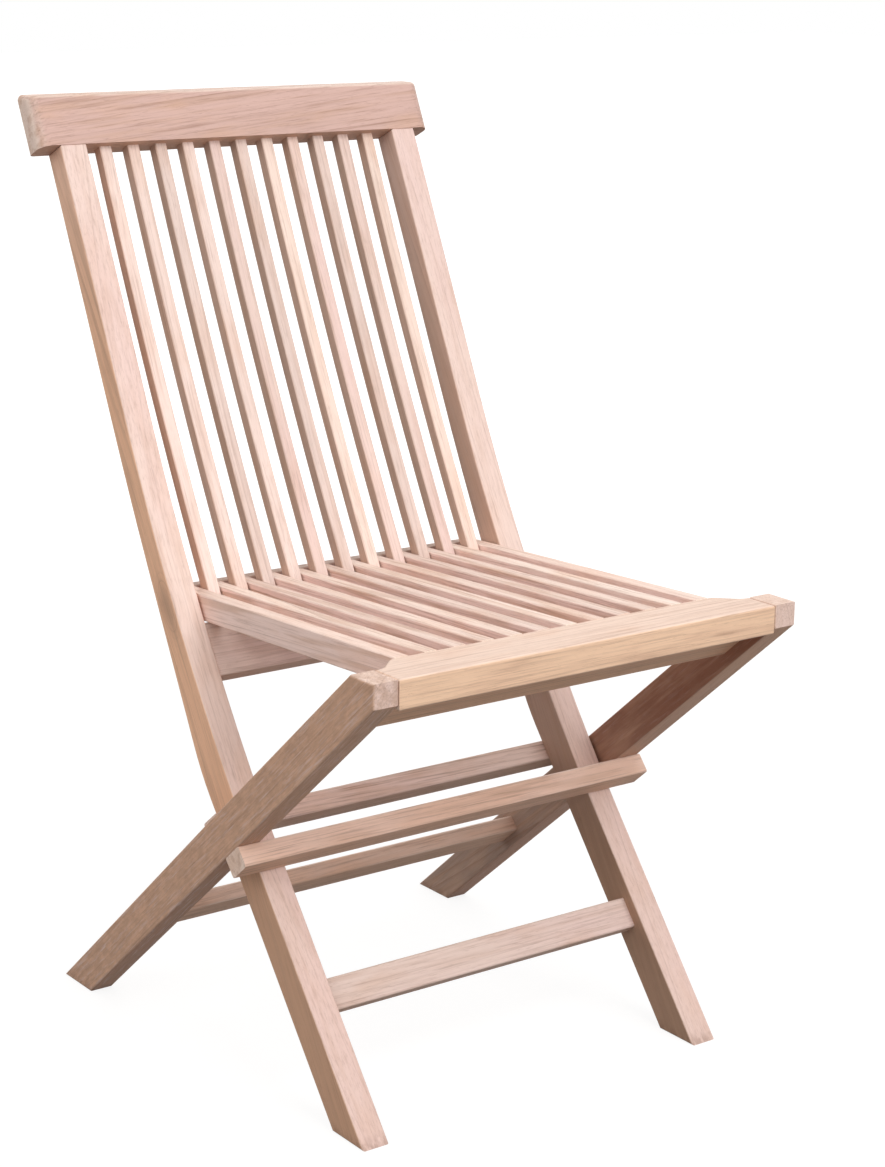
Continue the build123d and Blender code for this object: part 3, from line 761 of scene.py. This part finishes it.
def floor_material(colour):
    """Floor that looks white, brighter with distance, and keeps the chair's soft shadow."""
    recipe = Recipe(bpy.data.materials.new("studio_floor"))
    matt = recipe.add(
        "ShaderNodeBsdfPrincipled", {},
        {
            "Base Color": shade(colour, 1.0), "Roughness": FLOOR_ROUGHNESS,
            "Specular IOR Level": 0.0,
        },
    )
    place = recipe.add("ShaderNodeTexCoord", {}, {}, "Object")
    away = recipe.length(place).reach("far_floor")
    white = (FLOOR_WHITE - colour[0]) + colour[0] * away
    glow = recipe.add(
        "ShaderNodeEmission", {}, {"Color": WHITE, "Strength": plain_ray(recipe) * white}
    )
    both = recipe.add("ShaderNodeAddShader", {}, {0: matt, 1: glow})
    return recipe.surface(both)


def sky_world(strength, tint):
    """Sky that lights the chair from all round and looks plain white."""
    recipe = Recipe(bpy.data.worlds.new("studio_sky"))
    seen = plain_ray(recipe)
    colour = recipe.mix(seen, shade(tint, 1.0), WHITE)
    level = strength + (1.0 - strength) * seen
    background = recipe.add("ShaderNodeBackground", {}, {"Color": colour, "Strength": level})
    return recipe.surface(background, "ShaderNodeOutputWorld")


def add_lamp(name, power, place, size, colour, aim):
    """Square soft lamp that points at a spot."""
    lamp = bpy.data.lights.new(name, "AREA")
    lamp.size = size
    lamp.energy = power
    lamp.color = colour
    holder = bpy.data.objects.new(name, lamp)
    holder.location = place
    holder.rotation_euler = (Vector(aim) - Vector(place)).to_track_quat("-Z", "Y").to_euler()
    bpy.context.scene.collection.objects.link(holder)


class CHAIR_OT_stage(bpy.types.Operator):
    """Lay the floor, hang the lamps and set the camera."""

    bl_idname = "chair.stage"
    bl_label = "Build Stage"

    def execute(self, context):
        scene = context.scene
        studio = scene.studio
        half = studio.floor_width / 2
        mesh = bpy.data.meshes.new("floor")
        corners = [(x * half, y * half, 0.0) for x, y in ((-1, -1), (1, -1), (1, 1), (-1, 1))]
        mesh.from_pydata(corners, [], [(0, 1, 2, 3)])
        mesh.materials.append(floor_material(studio.floor))
        floor = bpy.data.objects.new("floor", mesh)
        scene.collection.objects.link(floor)

        for name, (power, place, size, colour) in LAMPS.items():
            add_lamp(name, getattr(studio, power), place, size, colour, studio.aim)
        scene.world = sky_world(studio.sky, studio.sky_tint)

        lens = bpy.data.cameras.new("camera")
        lens.sensor_width = SENSOR_WIDTH
        lens.lens = studio.lens
        camera = bpy.data.objects.new("camera", lens)
        azimuth, elevation, roll = studio.azimuth, studio.elevation, studio.roll
        flat = cos(elevation)
        back = Vector((sin(azimuth) * flat, -cos(azimuth) * flat, sin(elevation)))
        level = Vector((cos(azimuth), sin(azimuth), 0.0))
        upright = back.cross(level)
        right = cos(roll) * level + sin(roll) * upright
        up = cos(roll) * upright - sin(roll) * level
        turn = Matrix((right, up, back)).transposed().to_4x4()
        place = Vector(studio.aim) + back * studio.distance
        camera.matrix_world = Matrix.Translation(place) @ turn
        scene.collection.objects.link(camera)
        scene.camera = camera
        scene.view_settings.view_transform = "Standard"
        return {"FINISHED"}


class CHAIR_PT_panel(bpy.types.Panel):
    """Steps of the folding chair."""

    bl_idname = "CHAIR_PT_panel"
    bl_label = "Folding Chair"
    bl_space_type = "VIEW_3D"
    bl_region_type = "UI"
    bl_category = "Folding Chair"

    def draw(self, context):
        layout = self.layout
        for step in STEPS:
            layout.operator(step.bl_idname)
        for settings in (context.scene.teak_finish, context.scene.hardware_finish,
                         context.scene.studio):
            box = layout.box()
            for name in settings.__annotations__:
                box.prop(settings, name)


GROUPS = {"teak_finish": TeakFinish, "hardware_finish": HardwareFinish, "studio": StudioSettings}
STEPS = (
    CHAIR_OT_back_frame, CHAIR_OT_leg_frame, CHAIR_OT_seat, CHAIR_OT_hardware,
    CHAIR_OT_stage,
)


def register():
    for group in GROUPS.values():
        bpy.utils.register_class(group)
    for name, group in GROUPS.items():
        setattr(bpy.types.Scene, name, bpy.props.PointerProperty(type=group))
    for step in STEPS:
        bpy.utils.register_class(step)
    bpy.utils.register_class(CHAIR_PT_panel)


def unregister():
    bpy.utils.unregister_class(CHAIR_PT_panel)
    for step in reversed(STEPS):
        bpy.utils.unregister_class(step)
    for name, group in GROUPS.items():
        delattr(bpy.types.Scene, name)
        bpy.utils.unregister_class(group)


def main():
    register()
    bpy.ops.chair.back_frame()
    bpy.ops.chair.leg_frame()
    bpy.ops.chair.seat()
    bpy.ops.chair.hardware()
    bpy.ops.chair.stage()


if __name__ == "__main__":
    main()
